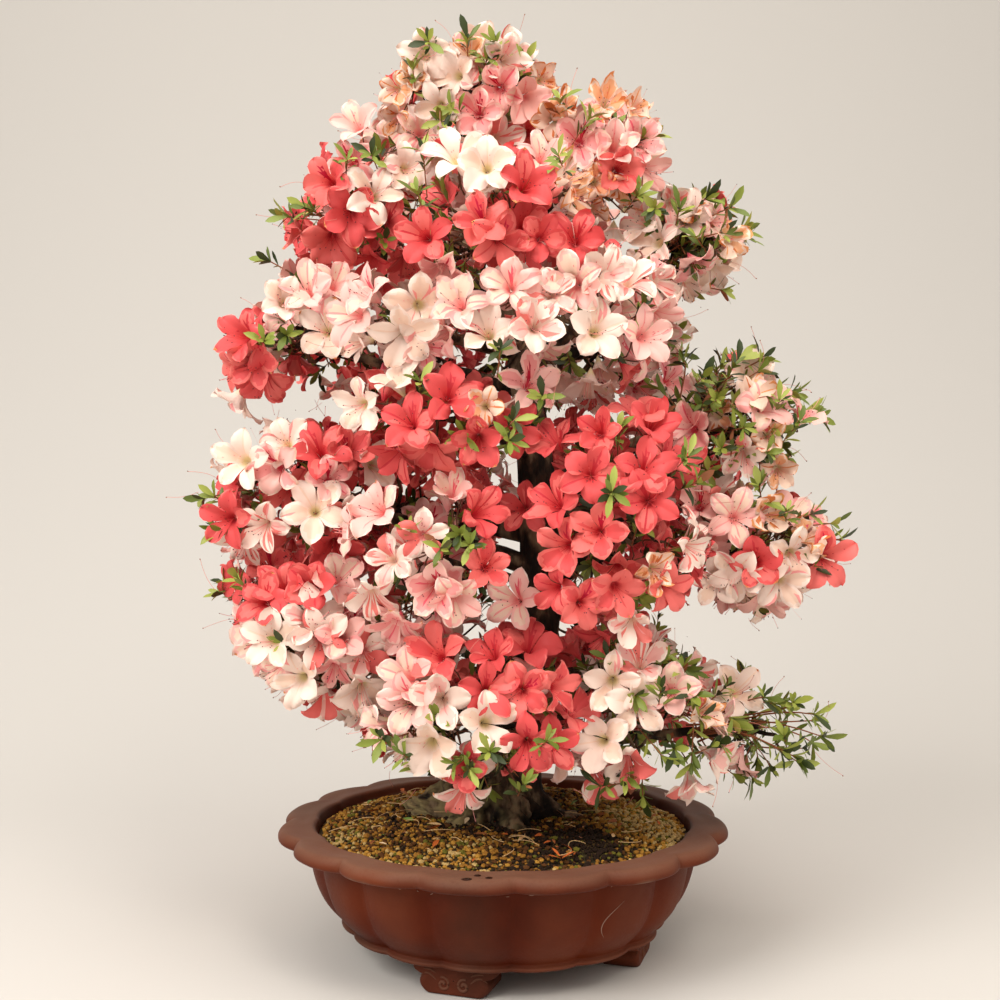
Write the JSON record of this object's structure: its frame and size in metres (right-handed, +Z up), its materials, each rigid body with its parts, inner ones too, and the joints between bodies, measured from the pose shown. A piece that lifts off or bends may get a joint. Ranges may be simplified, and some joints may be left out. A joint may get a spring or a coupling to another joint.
{
  "type": "flowering bonsai tree in pot",
  "caption": "Dwarf azalea tree in full bloom with coral, pink and cream blossoms, grown as a tall bonsai in a round lobed clay pot on low scroll feet.",
  "frame": {"origin": "on the plane that the feet stand on, under the middle of the whole plant's outer box", "axes": "+Z up, -Y towards the front of the tree, +X to the right as seen from the front"},
  "size_m": [0.6474, 0.4394, 0.9167],
  "materials": {
    "clay": "unglazed red-brown fired clay, matt with a faint sheen on the rim",
    "soil": "golden brown gritty granules, matt",
    "bark": "dark brown, finely fissured bark",
    "blossom_coral": "soft matt coral red petals",
    "blossom_cream": "soft matt cream white petals, some striped pink",
    "blossom_pink": "soft matt pale pink petals",
    "blossom_peach": "fading peach petals, soft and matt",
    "green_leaf": "small green leaves with a slight gloss"
  },
  "bodies": {
    "root": {"bough_back_left": "bark", "bough_back_left_high": "bark", "bough_back_left_low": "bark", "bough_back_right": "bark", "bough_back_right_high": "bark", "bough_back_right_low": "bark", "bough_back_upper": "bark", "bough_front_right": "bark", "bough_front_shelf": "bark", "bough_front_skirt": "bark", "bough_left_bank": "bark", "bough_left_drape": "bark", "bough_left_shelf": "bark", "bough_left_skirt": "bark", "bough_right_bank": "bark", "bough_right_shelf": "bark", "bough_right_shoulder": "bark", "bough_right_skirt": "bark", "bough_right_tip": "bark", "bough_upper_left": "bark", "bough_upper_right": "bark", "foliage_apex": "blossom_cream", "foliage_back_left": "blossom_pink", "foliage_back_left_high": "blossom_coral", "foliage_back_left_low": "blossom_cream", "foliage_back_right": "blossom_coral", "foliage_back_right_high": "blossom_cream", "foliage_back_right_low": "blossom_coral", "foliage_back_upper": "blossom_pink", "foliage_front_left": "blossom_cream", "foliage_front_right": "blossom_coral", "foliage_front_shelf": "blossom_cream", "foliage_front_skirt": "blossom_coral", "foliage_front_upper": "blossom_coral", "foliage_left_bank": "blossom_coral", "foliage_left_drape": "blossom_cream", "foliage_left_shelf": "blossom_cream", "foliage_left_skirt": "blossom_pink", "foliage_right_bank": "blossom_pink", "foliage_right_shelf": "green_leaf", "foliage_right_shoulder": "green_leaf", "foliage_right_skirt": "blossom_cream", "foliage_right_tip": "green_leaf", "foliage_upper_front": "blossom_coral", "foliage_upper_left": "blossom_coral", "foliage_upper_right": "blossom_peach", "foot_1": "clay", "foot_2": "clay", "foot_3": "clay", "foot_4": "clay", "pot": "clay", "soil": "soil", "trunk": "bark"}
  },
  "joints": []
}
